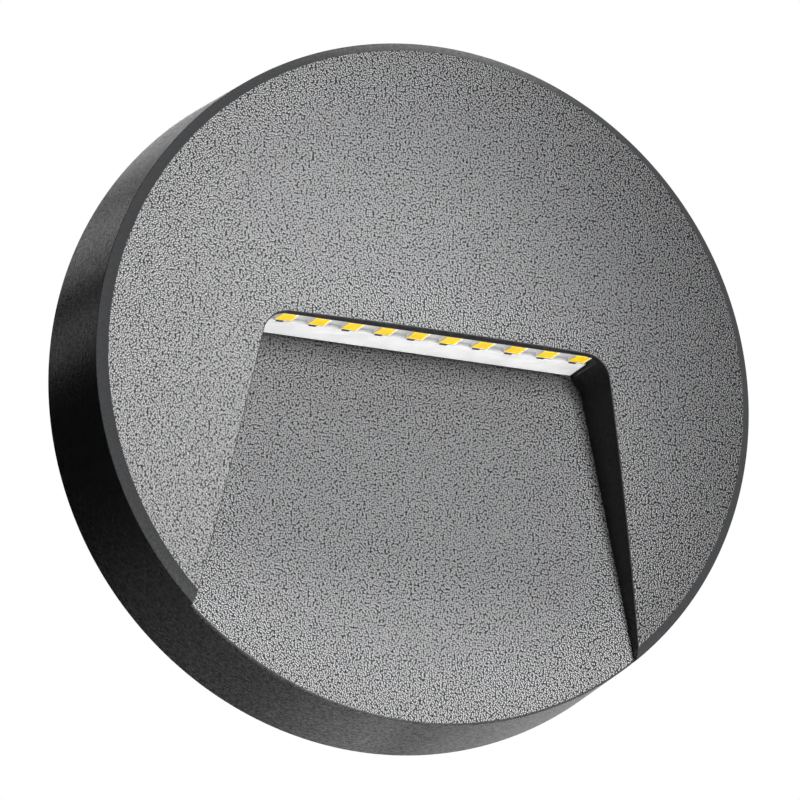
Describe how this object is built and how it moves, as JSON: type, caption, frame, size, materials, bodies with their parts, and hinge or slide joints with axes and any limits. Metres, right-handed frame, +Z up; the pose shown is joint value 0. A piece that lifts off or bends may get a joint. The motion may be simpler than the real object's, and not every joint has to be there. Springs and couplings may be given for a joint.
{
  "type": "wall light",
  "caption": "Round surface-mounted wall light: domed painted housing with a sloped recess lit by a row of chips from its ceiling, on a screwed wall bracket.",
  "frame": {"origin": "on the light's axis, in the plane of the wall that it hangs on", "axes": "+Y into the wall, so the front faces -Y; +Z up; +X to the right as seen from the front"},
  "size_m": [0.1228, 0.0274, 0.1228],
  "materials": {
    "anthracite_paint": "anthracite textured powder coat over die-cast aluminium",
    "zinc_steel": "zinc-plated",
    "dark_steel": "black oxide",
    "chip_phosphor": "yellow phosphor in a cream package",
    "light_board_grey": "pale grey solder mask",
    "brushed_aluminium": "brushed along the strip",
    "plain_aluminium": "mill finish",
    "black_rubber": "matte",
    "vent_white": "matte",
    "black_plastic": "fine-grained",
    "green_board": "solder mask",
    "ferrite": "matte",
    "capacitor_sleeve": "shrunk sleeve",
    "film_yellow": "smooth",
    "black_resin": "moulded",
    "fuse_ceramic": "smooth",
    "terminal_green": "moulded",
    "red_wire": "insulation",
    "black_wire": "insulation",
    "earth_wire_green": "insulation, green with yellow"
  },
  "bodies": {
    "bracket": {"wall_bracket": "zinc_steel"},
    "head": {"bar_screw_left": "zinc_steel", "bar_screw_right": "zinc_steel", "bridge_rectifier": "black_resin", "cable_grommet": "black_rubber", "cover_gasket": "black_rubber", "cover_screw_1": "zinc_steel", "cover_screw_2": "zinc_steel", "cover_screw_3": "zinc_steel", "cover_screw_4": "zinc_steel", "driver_board": "green_board", "driver_chip": "black_resin", "driver_tray": "black_plastic", "earth_lug": "zinc_steel", "earth_screw": "zinc_steel", "earth_wire": "earth_wire_green", "film_capacitor": "film_yellow", "heat_bar": "plain_aluminium", "housing": "anthracite_paint", "input_capacitor": "capacitor_sleeve", "input_fuse": "fuse_ceramic", "input_terminal": "terminal_green", "led_01": "chip_phosphor", "led_02": "chip_phosphor", "led_03": "chip_phosphor", "led_04": "chip_phosphor", "led_05": "chip_phosphor", "led_06": "chip_phosphor", "led_07": "chip_phosphor", "led_08": "chip_phosphor", "led_09": "chip_phosphor", "led_10": "chip_phosphor", "led_board": "light_board_grey", "led_wire_black": "black_wire", "led_wire_red": "red_wire", "line_choke": "ferrite", "output_capacitor": "capacitor_sleeve", "rear_cover": "zinc_steel", "reflector_strip": "brushed_aluminium", "terminal_screw_1": "zinc_steel", "terminal_screw_2": "zinc_steel", "transformer": "ferrite", "tray_screw_left": "zinc_steel", "tray_screw_right": "zinc_steel", "vent_plug": "vent_white", "wall_gasket": "black_rubber"},
    "set_screw_left": {"set_screw_left": "dark_steel"},
    "set_screw_right": {"set_screw_right": "dark_steel"}
  },
  "joints": [
    {"name": "head_pull_off", "type": "slide", "parent": "bracket", "child": "head", "axis": [0, -1, 0], "range_m": [0, 0.04]},
    {"name": "set_screw_left_back_out", "type": "slide", "parent": "head", "child": "set_screw_left", "axis": [-0.4226, 0, 0.9063], "range_m": [0, 0.003]},
    {"name": "set_screw_right_back_out", "type": "slide", "parent": "head", "child": "set_screw_right", "axis": [0.4226, 0, 0.9063], "range_m": [0, 0.003]}
  ]
}
